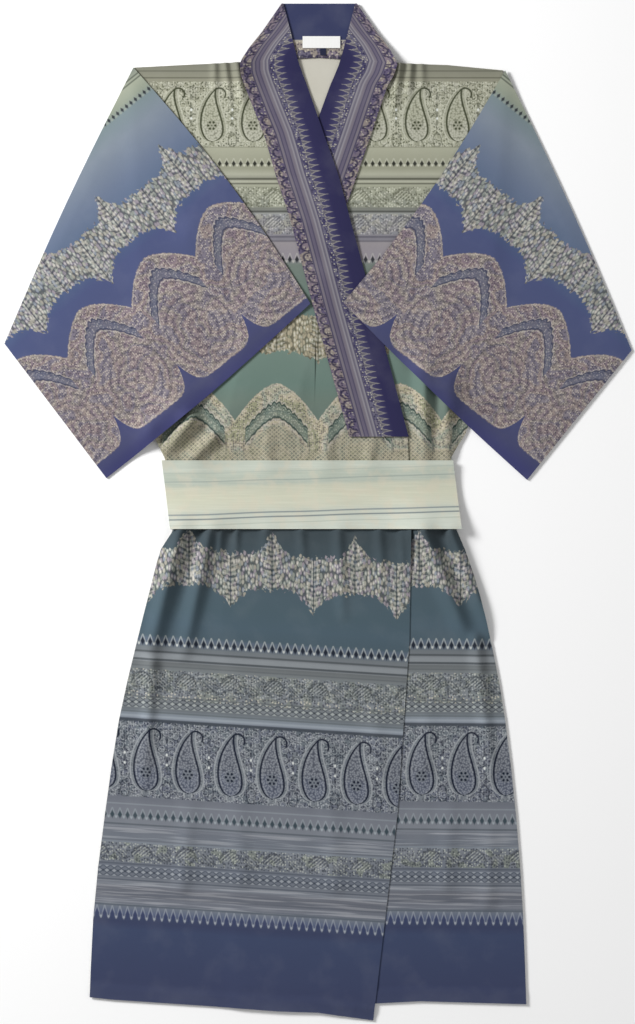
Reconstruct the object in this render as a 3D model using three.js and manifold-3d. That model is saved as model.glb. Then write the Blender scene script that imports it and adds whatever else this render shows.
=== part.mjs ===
// A cotton yukata robe laid flat on its back, face up: millimetres, +Z up, +Y towards the collar.
// The right and left of every name are the wearer's, so the right side of the robe lies at -X.
// The cloth pieces lie on each other like sheets: belt back, back panel, left front, right front,
// collar band, sleeves, and the belt's front over all of them at the waist.
import * as THREE from "three";
import { mergeVertices } from "three/addons/utils/BufferGeometryUtils.js";
import Module from "manifold-3d";

const wasm = await Module();
wasm.setup();

// ---- Driving dimensions -------------------------------------------------------------------------

const WALL = 1.2; // one layer of cloth
const COLLAR_WALL = 2.0; // the collar band is folded double
const LAY_GAP = 0.4; // between pieces that lie on each other
const SEAM_GAP = 0.3; // between pieces that are sewn edge to edge

const BELT_TOP = 61; // the belt's long edges, which lie along X
const BELT_BOTTOM = -20;
const BELT_SLANT = -0.125; // sideways shift of the belt's ends for each millimetre up
const BELT_CENTRE_X = -7.5;
const BELT_HALF_WIDTH = 172;

const RIGHT_SEAM_X = -4; // where each overlap panel is sewn to its front
const LEFT_SEAM_X = -12;
const COLLAR_END_Y = 89; // the band's lower ends
const NECK_ALLOWANCE = 15; // how far a front runs in under the collar band
const END_ALLOWANCE = 69; // the same at the band's lower end, where it reaches the free edge
const ALLOWANCE_FROM_Y = 300; // from here down the allowance widens
const NECK_POINT_Y = 531; // where the collar band leaves the shoulder
const RIGHT_HEM_Y = -600; // where each free edge meets its hem
const LEFT_HEM_Y = -577;

// The body's outline: its sides from the shoulder to the hem, pulled in by the belt.
const BODY_SECTIONS = [
  { y: 540, right: -218, left: 220 },
  { y: 300, right: -207, left: 203 },
  { y: 150, right: -199, left: 189 },
  { y: 92, right: -195, left: 174 },
  { y: 64, right: -181, left: 157 },
  { y: 20, right: -175, left: 160 },
  { y: -22, right: -171, left: 164 },
  { y: -40, right: -184, left: 172 },
  { y: -94, right: -199, left: 190 },
  { y: -170, right: -218, left: 208 },
  { y: -245, right: -235, left: 221 },
  { y: -359, right: -252, left: 234 },
  { y: -472, right: -265, left: 242 },
  { y: -610, right: -271, left: 247 },
];

// The long edges of the collar band on each side, from the fold at the back of the neck down.
const RIGHT_BAND = [
  { y: 600.6, outer: -43, inner: -41 },
  { y: 566, outer: -67, inner: -32 },
  { y: 531, outer: -92, inner: -23 },
  { y: 504, outer: -87, inner: -13 },
  { y: 446, outer: -64, inner: 7 },
  { y: 398, outer: -50, inner: 24 },
  { y: 342, outer: -32, inner: 39 },
  { y: 243, outer: -6, inner: 66 },
  { y: COLLAR_END_Y, outer: 37, inner: 107 },
];
const LEFT_BAND = [
  { y: 600.6, outer: 46, inner: 44 },
  { y: 566, outer: 70, inner: 35 },
  { y: 529, outer: 94, inner: 25 },
  { y: 503, outer: 82, inner: 14 },
  { y: 450, outer: 64, inner: -5 },
  { y: 392, outer: 44, inner: -26 },
  { y: 342, outer: 27, inner: -41 },
  { y: 243, outer: 0, inner: -68 },
  { y: COLLAR_END_Y, outer: -42, inner: -109 },
];

// The collar's stretch behind the neck: wide at the shoulders, narrow at the fold.
const COLLAR_BACK = { lowerRightX: -90, lowerLeftX: 92, upperRightX: -41.5, upperLeftX: 44.5 };

// The free front edges below the collar band's ends.
const RIGHT_FREE_EDGE = [
  { y: COLLAR_END_Y, x: 107 },
  { y: -20, x: 110 },
  { y: -151, x: 108 },
  { y: -355, x: 94 },
  { y: -610, x: 64 },
];
const LEFT_FREE_EDGE = [
  { y: COLLAR_END_Y, x: -109 },
  { y: -20, x: -113 },
  { y: -610, x: -88 },
];

// The lower edges, from the wearer's right to left.
const RIGHT_HEM = [
  { x: -290, y: -571 },
  { x: -244, y: -576 },
  { x: -139, y: -583 },
  { x: -45, y: -590 },
  { x: 0, y: -591.5 },
  { x: 65, y: -600.6 },
  { x: 90, y: -604 },
];
const LEFT_HEM = [
  { x: -130, y: -577 },
  { x: 68, y: -580.6 },
  { x: 120, y: -578 },
  { x: 280, y: -582.5 },
];
const BACK_HEM = [
  { x: -290, y: -568 },
  { x: 280, y: -579 },
];

// The upper edge, from tip to tip over the back of the neck.
const SHOULDER = [
  { x: -240, y: 524.5 },
  { x: -218, y: 525 },
  { x: -151, y: 528.5 },
  { x: -92, y: 531 },
  { x: 0, y: 536.5 },
  { x: 94, y: 530 },
  { x: 153, y: 528 },
  { x: 221, y: 521.5 },
  { x: 240, y: 521 },
];

// A sleeve's four corners and how far its edges bow out from the straight line between them.
const SLEEVES = [
  {
    name: "sleeve_right",
    shoulder: [-218, 525],
    cuffTop: [-370.5, 199],
    cuffBottom: [-250, 40],
    tip: [-9, 246],
    foldBow: -4,
    innerBow: 9,
    seamBow: 4,
    under: ["back_panel", "front_left", "overlap_left", "collar_left", "front_right", "overlap_right"],
  },
  {
    name: "sleeve_left",
    shoulder: [221, 521.5],
    cuffTop: [370.5, 191],
    cuffBottom: [247, 38],
    tip: [30, 247],
    foldBow: 4,
    innerBow: 9,
    seamBow: -3,
    under: ["back_panel", "front_left", "front_right", "overlap_right", "collar_left", "collar_right"],
  },
];
const SLEEVE_AIR = 1.4; // the space between a sleeve's two layers, at its middle
const SLEEVE_EDGE_AIR = 0.4;

// Standing folds: a ridge runs from one point to the other, highest about a third of the way along.
const RIGHT_FOLDS = [
  { x: -128, y: 150, toX: -172, toY: 52, width: 16, height: 4.5 },
  { x: -165, y: -20, toX: -186, toY: -190, width: 15, height: 4.0 },
  { x: -142, y: -20, toX: -150, toY: -120, width: 14, height: 2.5 },
  { x: 30, y: -20, toX: 36, toY: -140, width: 22, height: 1.5 },
];
const LEFT_FOLDS = [
  { x: 146, y: 150, toX: 148, toY: 60, width: 14, height: 4.5 },
  { x: 152, y: -20, toX: 186, toY: -230, width: 15, height: 4.5 },
];

const FOLD_START = 0.25; // a fold's rise and fall is a half wave, cut short by this share at its start

// The grid that all body pieces share: rows along Y, columns as shares of the width.
const GRID_ROWS = [
  540, 500, 450, 400, 350, 300, 250, 200, 160, 130, 110, 92, 78, 64, 48, 20, -6, -22, -32, -44, -58,
  -76, -98, -125, -160, -200, -245, -300, -360, -420, -480, -540, -610,
];
const GRID_SHARES = [
  0, 0.03, 0.07, 0.12, 0.18, 0.26, 0.36, 0.46, 0.56, 0.66, 0.75, 0.82, 0.88, 0.93, 0.97, 1,
];
const GRID_REACH = 46; // a little more than the grid's widest step
const PROBE_DIRECTIONS = 12; // how many ways round a point its surroundings are felt

const BAND_SHARES = [0, 1 / 3, 2 / 3, 1];
const BAND_REACH = 38;
const SLEEVE_STEPS_LONG = 10;
const SLEEVE_STEPS_ACROSS = 9;
const SLEEVE_REACH = 38;
const BELT_STEPS_HIGH = 3;
const BELT_STEPS_ROUND = 22;
const BELT_REACH = 24;
const BELT_ROW_REACH = 8; // from the belt's edge to the grid row beside it
const SIDE_REACH = 400; // cutters run this far past the sides, which the grid itself gives
const PLANE_REACH = 700;
const CUTTER_BASE = -40;
const CUTTER_HEIGHT = 100;
const NECK_EDGE_HEIGHTS = [520, 480, 430, 380, 340, 300, 230, 160, COLLAR_END_Y];
const TRIM_WALL = 1.0;

const COLOURS = {
  cloth: 0x55646e,
  sleeve: 0x545a78,
  collar: 0x4a4668,
  belt: 0xb9c6b6,
  label: 0xeeeeee,
  loop: 0x2a2c3c,
};

const TRIMS = [
  { name: "neck_label", x: 4, y: 555, width: 44, height: 12.5, turn: -2, colour: COLOURS.label },
  { name: "hanging_loop", x: 6, y: 543.5, width: 7, height: 8.5, turn: 0, colour: COLOURS.loop },
];

// ---- Small tools --------------------------------------------------------------------------------

const clamp = THREE.MathUtils.clamp;
const lerp = THREE.MathUtils.lerp;

// The value of one column at a place along another, straight between the rows.
function along(rows, keyColumn, valueColumn, key) {
  const rising = rows[rows.length - 1][keyColumn] > rows[0][keyColumn];
  let i = 1;
  while (i < rows.length - 1 && (rising ? rows[i][keyColumn] < key : rows[i][keyColumn] > key)) i += 1;
  const from = rows[i - 1];
  const to = rows[i];
  const share = clamp((key - from[keyColumn]) / (to[keyColumn] - from[keyColumn]), 0, 1);
  return lerp(from[valueColumn], to[valueColumn], share);
}

// The same, on a smooth curve through the rows.
function smoothAlong(rows, keyColumn, valueColumn, key) {
  const falling = rows[0][keyColumn] > rows[1][keyColumn];
  const ordered = falling ? [...rows].reverse() : rows;
  const keys = ordered.map((row) => row[keyColumn]);
  const values = ordered.map((row) => row[valueColumn]);
  const last = keys.length - 1;
  const slopes = values.map((_, i) => {
    const low = Math.max(i - 1, 0);
    const high = Math.min(i + 1, last);
    return (values[high] - values[low]) / (keys[high] - keys[low]);
  });
  let i = 0;
  while (i < last - 1 && keys[i + 1] < key) i += 1;
  const step = keys[i + 1] - keys[i];
  const t = clamp((key - keys[i]) / step, 0, 1);
  const start = (1 + 2 * t) * (1 - t) ** 2 * values[i] + t * (1 - t) ** 2 * step * slopes[i];
  const end = t * t * (3 - 2 * t) * values[i + 1] + t * t * (t - 1) * step * slopes[i + 1];
  return start + end;
}

// The last step of a list, rising or falling, that starts at or before a place.
function cellOf(places, place) {
  const rising = places[1] > places[0];
  let i = 0;
  while (i < places.length - 2 && (rising ? places[i + 1] < place : places[i + 1] > place)) i += 1;
  return i;
}

function insideOutline(outline, x, y) {
  let inside = false;
  outline.forEach((a, i) => {
    const b = outline[(i + 1) % outline.length];
    if (a.y > y !== b.y > y && x < a.x + ((y - a.y) / (b.y - a.y)) * (b.x - a.x)) inside = !inside;
  });
  return inside;
}

function signedVolume(geometry) {
  const at = geometry.attributes.position;
  const corner = [new THREE.Vector3(), new THREE.Vector3(), new THREE.Vector3()];
  let volume = 0;
  for (let i = 0; i < at.count; i += 3) {
    corner.forEach((point, k) => point.fromBufferAttribute(at, i + k));
    volume += corner[0].dot(corner[1].cross(corner[2])) / 6;
  }
  return volume;
}

// Reverses every face of a geometry that has no index.
function turnFaces(geometry) {
  const values = geometry.attributes.position.array;
  for (let i = 0; i < values.length; i += 9) {
    for (let k = 0; k < 3; k += 1) {
      [values[i + 3 + k], values[i + 6 + k]] = [values[i + 6 + k], values[i + 3 + k]];
    }
  }
}

// A line from one point to another that bows out to the left of its direction.
function bowed(from, to, bow) {
  const dx = to[0] - from[0];
  const dy = to[1] - from[1];
  const length = Math.hypot(dx, dy);
  return (t) => {
    const out = (bow * Math.sin(Math.PI * t)) / length;
    return [from[0] + t * dx - out * dy, from[1] + t * dy + out * dx];
  };
}

function toSolid(geometry) {
  const bare = geometry.clone();
  bare.deleteAttribute("normal");
  bare.deleteAttribute("uv");
  const merged = mergeVertices(bare, 1e-4);
  return new wasm.Manifold(
    new wasm.Mesh({
      numProp: 3,
      vertProperties: new Float32Array(merged.attributes.position.array),
      triVerts: new Uint32Array(merged.index.array),
    }),
  );
}

function toGeometry(solid) {
  const mesh = solid.getMesh();
  const geometry = new THREE.BufferGeometry();
  geometry.setAttribute("position", new THREE.BufferAttribute(mesh.vertProperties, 3));
  geometry.setIndex(new THREE.BufferAttribute(mesh.triVerts, 1));
  return geometry;
}

// A closed geometry from shared points and four-sided faces, seen anticlockwise from outside.
function facesToGeometry(points, faces) {
  const geometry = new THREE.BufferGeometry();
  geometry.setAttribute("position", new THREE.Float32BufferAttribute(points.flat(), 3));
  geometry.setIndex(faces.flatMap(([a, b, c, d]) => [a, b, c, a, c, d]));
  return geometry;
}

// A sheet with two faces: rows of points, each point with its place and its lower and upper height.
function sheetGeometry(rows) {
  const across = rows[0].length;
  const lower = rows.flat().map((p) => [p.x, p.y, p.bottom]);
  const upper = rows.flat().map((p) => [p.x, p.y, p.top]);
  const faces = [];
  const upperStart = lower.length;
  const at = (row, column) => row * across + column;
  for (let r = 0; r < rows.length - 1; r += 1) {
    for (let c = 0; c < across - 1; c += 1) {
      const corners = [at(r, c), at(r + 1, c), at(r + 1, c + 1), at(r, c + 1)];
      faces.push(corners.map((i) => i + upperStart));
      faces.push([corners[0], corners[3], corners[2], corners[1]]);
    }
  }
  const rim = [];
  for (let c = 0; c < across - 1; c += 1) rim.push(at(0, c));
  for (let r = 0; r < rows.length - 1; r += 1) rim.push(at(r, across - 1));
  for (let c = across - 1; c > 0; c -= 1) rim.push(at(rows.length - 1, c));
  for (let r = rows.length - 1; r > 0; r -= 1) rim.push(at(r, 0));
  rim.forEach((a, i) => {
    const b = rim[(i + 1) % rim.length];
    faces.push([b, a, a + upperStart, b + upperStart]);
  });
  return facesToGeometry([...lower, ...upper], faces);
}

// A tube with a wall: rings of outer and inner points, left open at both ends.
function tubeGeometry(outerRings, innerRings) {
  const around = outerRings[0].length;
  const points = [...outerRings.flat(), ...innerRings.flat()];
  const innerStart = outerRings.length * around;
  const faces = [];
  const at = (ring, i) => ring * around + (i % around);
  for (let r = 0; r < outerRings.length - 1; r += 1) {
    for (let i = 0; i < around; i += 1) {
      const [a, b, c, d] = [at(r, i), at(r, i + 1), at(r + 1, i + 1), at(r + 1, i)];
      // Every layer's faces split along the same diagonal, so that they don't cross where they twist.
      const upperHalf = i >= around / 2;
      const outerFace = upperHalf ? [b, c, d, a] : [a, b, c, d];
      const innerFace = upperHalf ? [b, a, d, c] : [a, d, c, b];
      faces.push(outerFace);
      faces.push(innerFace.map((corner) => corner + innerStart));
    }
  }
  const lastRing = outerRings.length - 1;
  for (let i = 0; i < around; i += 1) {
    faces.push([at(0, i + 1), at(0, i), at(0, i) + innerStart, at(0, i + 1) + innerStart]);
    faces.push([
      at(lastRing, i),
      at(lastRing, i + 1),
      at(lastRing, i + 1) + innerStart,
      at(lastRing, i) + innerStart,
    ]);
  }
  return facesToGeometry(points, faces);
}

// A tall block over an outline, to cut sheets with.
function cutterOver(outline) {
  const shape = new THREE.Shape(outline.map((p) => new THREE.Vector2(p.x, p.y)));
  const block = new THREE.ExtrudeGeometry(shape, { depth: CUTTER_HEIGHT, bevelEnabled: false });
  return toSolid(block.translate(0, 0, CUTTER_BASE));
}

// ---- Outlines -----------------------------------------------------------------------------------

// Where a front ends under its collar band.
function neckEdgeX(band, y, sign) {
  const widening = clamp((ALLOWANCE_FROM_Y - y) / (ALLOWANCE_FROM_Y - COLLAR_END_Y), 0, 1);
  return along(band, "y", "outer", y) + sign * lerp(NECK_ALLOWANCE, END_ALLOWANCE, widening);
}

function neckEdge(band, sign) {
  return NECK_EDGE_HEIGHTS.map((y) => ({ x: neckEdgeX(band, y, sign), y }));
}

// The stretch of an edge table from one X to another, in that direction.
function pathBetween(edge, fromX, toX) {
  const low = Math.min(fromX, toX);
  const high = Math.max(fromX, toX);
  const middle = edge.filter((p) => p.x > low && p.x < high);
  if (fromX > toX) middle.reverse();
  const end = (x) => ({ x, y: along(edge, "x", "y", x) });
  return [end(fromX), ...middle, end(toX)];
}

function backOutline() {
  return [
    ...pathBetween(SHOULDER, SIDE_REACH, -SIDE_REACH),
    ...pathBetween(BACK_HEM, -SIDE_REACH, SIDE_REACH),
  ];
}

// The whole right front with its overlap panel, from the side to the neck and free edges.
function rightFrontOutline() {
  const neckX = neckEdgeX(RIGHT_BAND, NECK_POINT_Y, 1);
  const hemX = along(RIGHT_FREE_EDGE, "y", "x", RIGHT_HEM_Y);
  return [
    ...pathBetween(SHOULDER, -SIDE_REACH, neckX),
    ...neckEdge(RIGHT_BAND, 1),
    ...RIGHT_FREE_EDGE.slice(1, -1),
    ...pathBetween(RIGHT_HEM, hemX, -SIDE_REACH),
  ];
}

function leftFrontOutline() {
  const neckX = neckEdgeX(LEFT_BAND, NECK_POINT_Y, -1);
  const hemX = along(LEFT_FREE_EDGE, "y", "x", LEFT_HEM_Y);
  return [
    ...pathBetween(SHOULDER, SIDE_REACH, neckX),
    ...neckEdge(LEFT_BAND, -1),
    ...LEFT_FREE_EDGE.slice(1, -1),
    ...pathBetween(LEFT_HEM, hemX, SIDE_REACH),
  ];
}

// The half of the plane on one side of an upright seam, short of it by half the seam gap.
function besideSeam(seamX, side) {
  const near = seamX + (side * SEAM_GAP) / 2;
  const far = seamX + side * 2 * SIDE_REACH;
  const low = Math.min(near, far);
  const high = Math.max(near, far);
  return [
    { x: low, y: -PLANE_REACH },
    { x: high, y: -PLANE_REACH },
    { x: high, y: PLANE_REACH },
    { x: low, y: PLANE_REACH },
  ];
}

// ---- Laid pieces --------------------------------------------------------------------------------

// The pieces laid so far. Each says where it lies and how high its upper face is there.
const laid = [];

// The lowest height at which a point clears every laid piece within reach of it.
function restHeight(x, y, reach, pieces = laid) {
  let height = 0;
  for (const ring of [0, 0.5, 1]) {
    const directions = ring === 0 ? 1 : PROBE_DIRECTIONS;
    for (let i = 0; i < directions; i += 1) {
      const angle = (i / directions) * 2 * Math.PI;
      const px = x + ring * reach * Math.cos(angle);
      const py = y + ring * reach * Math.sin(angle);
      for (const piece of pieces) {
        if (!piece.covers(px, py)) continue;
        height = Math.max(height, piece.topAt(px, py) + LAY_GAP);
      }
    }
  }
  return height;
}

function laidNamed(names) {
  return laid.filter((piece) => names.includes(piece.name));
}

// The same height field, with each grid point worked out only once.
function remembered(heightField) {
  const found = new Map();
  return (x, y) => {
    const key = `${x},${y}`;
    if (!found.has(key)) found.set(key, heightField(x, y));
    return found.get(key);
  };
}

function foldHeight(folds, x, y) {
  let height = 0;
  for (const fold of folds) {
    const dx = fold.toX - fold.x;
    const dy = fold.toY - fold.y;
    const length = Math.hypot(dx, dy);
    const t = clamp(((x - fold.x) * dx + (y - fold.y) * dy) / length ** 2, 0, 1);
    const away = Math.hypot(x - fold.x - t * dx, y - fold.y - t * dy) / fold.width;
    const across = Math.cos((Math.min(away, 1) * Math.PI) / 2) ** 2;
    const lengthwise = Math.sin(Math.PI * lerp(FOLD_START, 1, t));
    height = Math.max(height, fold.height * across * lengthwise);
  }
  return height;
}

function bodyX(y, share) {
  const right = smoothAlong(BODY_SECTIONS, "y", "right", y);
  const left = smoothAlong(BODY_SECTIONS, "y", "left", y);
  return lerp(right, left, share);
}

function insideBody(x, y) {
  return x > bodyX(y, 0) && x < bodyX(y, 1);
}

// A band's rows, with one more halfway along every step of its table.
function bandRows(band) {
  return band.flatMap((row, i) => {
    if (i === 0) return [row];
    const y = (row.y + band[i - 1].y) / 2;
    const edge = (column) => smoothAlong(band, "y", column, y);
    return [{ y, outer: edge("outer"), inner: edge("inner") }, row];
  });
}

// Cuts one body piece out of the shared grid. lowerAt gives its lower face at a grid point.
function layBodyPiece(name, cutters, lowerAt) {
  const rows = GRID_ROWS.map((y) =>
    GRID_SHARES.map((share) => {
      const x = bodyX(y, share);
      const bottom = lowerAt(x, y);
      return { x, y, bottom, top: bottom + WALL };
    }),
  );
  const topAt = (x, y) => {
    const rightX = bodyX(y, 0);
    const share = (x - rightX) / (bodyX(y, 1) - rightX);
    const r = cellOf(GRID_ROWS, y);
    const c = cellOf(GRID_SHARES, share);
    const corners = [rows[r][c], rows[r][c + 1], rows[r + 1][c], rows[r + 1][c + 1]];
    return Math.max(...corners.map((p) => p.top));
  };
  let solid = toSolid(sheetGeometry(rows));
  for (const outline of cutters) solid = solid.intersect(cutterOver(outline));
  const covers = (x, y) => insideBody(x, y) && cutters.every((o) => insideOutline(o, x, y));
  laid.push({ name, covers, topAt });
  return named(name, toGeometry(solid), COLOURS.cloth);
}

// Lays a stretch of the collar band over what is there already.
function layBand(name, band) {
  const rows = bandRows(band).map(({ y, outer, inner }) =>
    BAND_SHARES.map((share) => {
      const x = lerp(outer, inner, share);
      const bottom = restHeight(x, y, BAND_REACH);
      return { x, y, bottom, top: bottom + COLLAR_WALL };
    }),
  );
  const outline = [
    ...rows.map((row) => row[0]),
    ...[...rows].reverse().map((row) => row[row.length - 1]),
  ].map(({ x, y }) => ({ x, y }));
  const heights = rows.map((row) => row[0].y);
  const topAt = (x, y) => {
    const r = cellOf(heights, y);
    return Math.max(...rows[r].map((p) => p.top), ...rows[r + 1].map((p) => p.top));
  };
  laid.push({ name, covers: (x, y) => insideOutline(outline, x, y), topAt });
  return named(name, sheetGeometry(rows), COLOURS.collar);
}

// A flat sleeve: a closed loop of cloth round its length, from the body edge to the cuff.
function laySleeve({ name, shoulder, cuffTop, cuffBottom, tip, foldBow, innerBow, seamBow, under }) {
  const fold = bowed(shoulder, cuffTop, foldBow);
  const seam = bowed(tip, cuffBottom, seamBow);
  const inner = bowed(shoulder, tip, innerBow);
  const cuff = bowed(cuffTop, cuffBottom, 0);
  const place = (u, v) =>
    [0, 1].map((axis) => {
      const ruled = lerp(fold(u)[axis], seam(u)[axis], v) + lerp(inner(v)[axis], cuff(v)[axis], u);
      const corners = lerp(lerp(shoulder[axis], tip[axis], v), lerp(cuffTop[axis], cuffBottom[axis], v), u);
      return ruled - corners;
    });
  const support = laidNamed(under);
  const outerRings = [];
  const innerRings = [];
  for (let i = 0; i <= SLEEVE_STEPS_LONG; i += 1) {
    const u = i / SLEEVE_STEPS_LONG;
    const width = Math.hypot(fold(u)[0] - seam(u)[0], fold(u)[1] - seam(u)[1]);
    const inset = WALL / width;
    const lower = [];
    const upper = [];
    const lowerInside = [];
    const upperInside = [];
    for (let j = 0; j <= SLEEVE_STEPS_ACROSS; j += 1) {
      const v = j / SLEEVE_STEPS_ACROSS;
      const [x, y] = place(u, v);
      const bottom = restHeight(x, y, SLEEVE_REACH, support);
      const air = lerp(SLEEVE_EDGE_AIR, SLEEVE_AIR, Math.sin(Math.PI * v));
      const [insideX, insideY] = place(u, clamp(v, inset, 1 - inset));
      lower.push([x, y, bottom]);
      upper.unshift([x, y, bottom + 2 * WALL + air]);
      lowerInside.push([insideX, insideY, bottom + WALL]);
      upperInside.unshift([insideX, insideY, bottom + WALL + air]);
    }
    outerRings.push([...lower, ...upper]);
    innerRings.push([...lowerInside, ...upperInside]);
  }
  return named(name, tubeGeometry(outerRings, innerRings), COLOURS.sleeve);
}

// The belt is one loop: its back lies on the ground and its front over the whole robe.
function makeBelt() {
  const outerRings = [];
  const innerRings = [];
  for (let i = 0; i <= BELT_STEPS_HIGH; i += 1) {
    const y = lerp(BELT_BOTTOM, BELT_TOP, i / BELT_STEPS_HIGH);
    const lower = [];
    const upper = [];
    const lowerInside = [];
    const upperInside = [];
    for (let j = 0; j <= BELT_STEPS_ROUND; j += 1) {
      const share = j / BELT_STEPS_ROUND;
      const x = beltX(y, share);
      const insideX = clamp(x, beltX(y, 0) + WALL, beltX(y, 1) - WALL);
      const front = restHeight(x, y, BELT_REACH);
      lower.push([x, y, 0]);
      upper.unshift([x, y, front + WALL]);
      lowerInside.push([insideX, y, WALL]);
      upperInside.unshift([insideX, y, front]);
    }
    outerRings.push([...lower, ...upper]);
    innerRings.push([...lowerInside, ...upperInside]);
  }
  return named("belt", tubeGeometry(outerRings, innerRings), COLOURS.belt);
}

// A small flat piece that lies on the collar's inner face.
function makeTrim({ name, x, y, width, height, turn, colour }) {
  const bottom = COLLAR_WALL + LAY_GAP;
  const trim = named(name, new THREE.BoxGeometry(width, height, TRIM_WALL), colour);
  trim.position.set(x, y, bottom + TRIM_WALL / 2);
  trim.rotation.z = THREE.MathUtils.degToRad(turn);
  return trim;
}

// A mesh with its faces turned outwards, whichever way round its points came.
function named(name, geometry, colour, roughness = 0.8) {
  const flat = geometry.index ? geometry.toNonIndexed() : geometry;
  if (signedVolume(flat) < 0) turnFaces(flat);
  flat.computeVertexNormals();
  const material = new THREE.MeshStandardMaterial({ color: colour, roughness, metalness: 0 });
  const mesh = new THREE.Mesh(flat, material);
  mesh.name = name;
  return mesh;
}

function beltX(y, share) {
  const middle = BELT_CENTRE_X + BELT_SLANT * (y - (BELT_TOP + BELT_BOTTOM) / 2);
  return lerp(middle - BELT_HALF_WIDTH, middle + BELT_HALF_WIDTH, share);
}

function collarBackOutline() {
  const { lowerRightX, lowerLeftX, upperRightX, upperLeftX } = COLLAR_BACK;
  const lower = pathBetween(SHOULDER, lowerRightX, lowerLeftX);
  const y = RIGHT_BAND[0].y;
  return [...lower.map((p) => ({ x: p.x, y: p.y + SEAM_GAP })), { x: upperLeftX, y }, { x: upperRightX, y }];
}

// ---- The robe -----------------------------------------------------------------------------------

const robe = new THREE.Group();

const insideBeltBack = (x, y) =>
  y > BELT_BOTTOM && y < BELT_TOP && x > beltX(y, 0) && x < beltX(y, 1);
laid.push({ name: "belt_back", covers: insideBeltBack, topAt: () => WALL });

const backLower = remembered((x, y) => restHeight(x, y, BELT_ROW_REACH));
robe.add(layBodyPiece("back_panel", [backOutline()], backLower));

const collarBack = collarBackOutline();
const collarShape = new THREE.Shape(collarBack.map((p) => new THREE.Vector2(p.x, p.y)));
const collarBackDepth = { depth: COLLAR_WALL, bevelEnabled: false };
const collarBackGeometry = new THREE.ExtrudeGeometry(collarShape, collarBackDepth);
laid.push({
  name: "collar_back",
  covers: (x, y) => insideOutline(collarBack, x, y),
  topAt: () => COLLAR_WALL,
});
robe.add(named("collar_back", collarBackGeometry, COLOURS.collar));
TRIMS.forEach((trim) => robe.add(makeTrim(trim)));

const leftLower = remembered(
  (x, y) => backLower(x, y) + WALL + LAY_GAP + foldHeight(LEFT_FOLDS, x, y),
);
robe.add(
  layBodyPiece("front_left", [leftFrontOutline(), besideSeam(LEFT_SEAM_X, 1)], leftLower),
  layBodyPiece("overlap_left", [leftFrontOutline(), besideSeam(LEFT_SEAM_X, -1)], leftLower),
);
robe.add(layBand("collar_left", LEFT_BAND));

const leftPieces = laidNamed(["front_left", "overlap_left", "collar_left"]);
const rightLower = remembered((x, y) => {
  const overBack = backLower(x, y) + WALL + LAY_GAP;
  const overLeftSide = restHeight(x, y, GRID_REACH, leftPieces);
  return Math.max(overBack, overLeftSide) + foldHeight(RIGHT_FOLDS, x, y);
});
robe.add(
  layBodyPiece("front_right", [rightFrontOutline(), besideSeam(RIGHT_SEAM_X, -1)], rightLower),
  layBodyPiece("overlap_right", [rightFrontOutline(), besideSeam(RIGHT_SEAM_X, 1)], rightLower),
);
robe.add(layBand("collar_right", RIGHT_BAND));
robe.add(makeBelt());
SLEEVES.forEach((sleeve) => robe.add(laySleeve(sleeve)));

export default robe;
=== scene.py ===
"""A cotton yukata robe laid flat on its back, face up: thin printed cloth shells over the CAD frame.

Every cloth piece takes its outline from its CAD node, lies on what is under it, and is a closed
shell of two faces. Lengths are in metres, apart from the prints, which are laid out in millimetres.
"""

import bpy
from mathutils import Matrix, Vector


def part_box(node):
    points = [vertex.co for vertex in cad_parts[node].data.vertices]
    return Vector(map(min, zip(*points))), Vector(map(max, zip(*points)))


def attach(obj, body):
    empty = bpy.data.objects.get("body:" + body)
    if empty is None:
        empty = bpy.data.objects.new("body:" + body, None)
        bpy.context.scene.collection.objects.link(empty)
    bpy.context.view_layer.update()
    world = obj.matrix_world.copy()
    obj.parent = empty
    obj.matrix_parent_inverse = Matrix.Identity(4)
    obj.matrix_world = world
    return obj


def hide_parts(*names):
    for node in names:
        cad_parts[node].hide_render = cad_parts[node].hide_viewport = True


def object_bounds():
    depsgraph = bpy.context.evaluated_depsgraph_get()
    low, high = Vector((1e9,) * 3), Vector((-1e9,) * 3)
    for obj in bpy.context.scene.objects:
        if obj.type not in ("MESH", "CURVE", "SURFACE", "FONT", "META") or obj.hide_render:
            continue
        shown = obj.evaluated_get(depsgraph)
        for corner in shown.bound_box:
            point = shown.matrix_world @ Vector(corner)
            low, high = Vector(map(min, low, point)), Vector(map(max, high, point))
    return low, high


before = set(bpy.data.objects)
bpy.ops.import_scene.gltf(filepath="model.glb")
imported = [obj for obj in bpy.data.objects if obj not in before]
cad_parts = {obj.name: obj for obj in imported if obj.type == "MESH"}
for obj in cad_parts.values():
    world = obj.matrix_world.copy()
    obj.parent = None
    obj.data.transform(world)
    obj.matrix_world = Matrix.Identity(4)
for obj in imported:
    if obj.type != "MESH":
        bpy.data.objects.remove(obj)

import copy
import math

import bpy
import numpy as np

CAD_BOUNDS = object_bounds()
MM = 0.001

# ---- Driving sizes ------------------------------------------------------------------------------

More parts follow.
